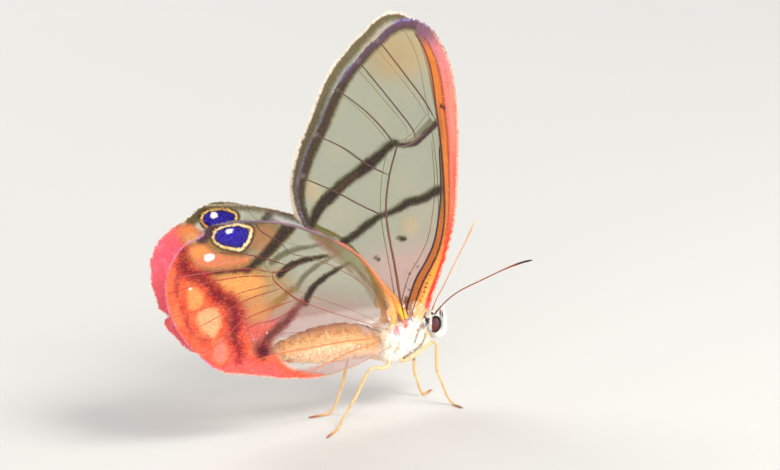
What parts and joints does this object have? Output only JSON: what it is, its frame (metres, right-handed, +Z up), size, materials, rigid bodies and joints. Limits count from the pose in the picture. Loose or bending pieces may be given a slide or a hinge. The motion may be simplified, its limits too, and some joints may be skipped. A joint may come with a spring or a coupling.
{
  "type": "blushing phantom butterfly",
  "caption": "Clear-winged tropical butterfly standing with its wings closed over its back, with rosy hindwings, smoky bands and a ringed eyespot on each hindwing.",
  "frame": {"origin": "middle of the bounding box's bottom face, on the surface that the feet stand on", "axes": "+X the way the head points, +Y the butterfly's left, +Z up"},
  "size_m": [0.0362, 0.0177, 0.04],
  "materials": {
    "white_scales": "matt, soft white scales",
    "tan_scales": "matt, tan scales",
    "smoky_membrane": "clear smoky membrane",
    "rosy_membrane": "clear membrane with rosy scales",
    "compound_eye": "glossy",
    "antenna_brown": "satin",
    "leg_cream": "satin"
  },
  "bodies": {
    "root": {"head": "white_scales", "thorax": "white_scales", "abdomen": "tan_scales", "eye_right": "compound_eye", "eye_left": "compound_eye", "palp_right": "white_scales", "palp_left": "white_scales", "antenna_right": "antenna_brown", "antenna_left": "antenna_brown", "forewing_right": "smoky_membrane", "forewing_left": "smoky_membrane", "hindwing_right": "rosy_membrane", "hindwing_left": "rosy_membrane", "foreleg_right": "leg_cream", "foreleg_left": "leg_cream", "midleg_right": "leg_cream", "midleg_left": "leg_cream", "hindleg_right": "leg_cream", "hindleg_left": "leg_cream"}
  },
  "joints": []
}
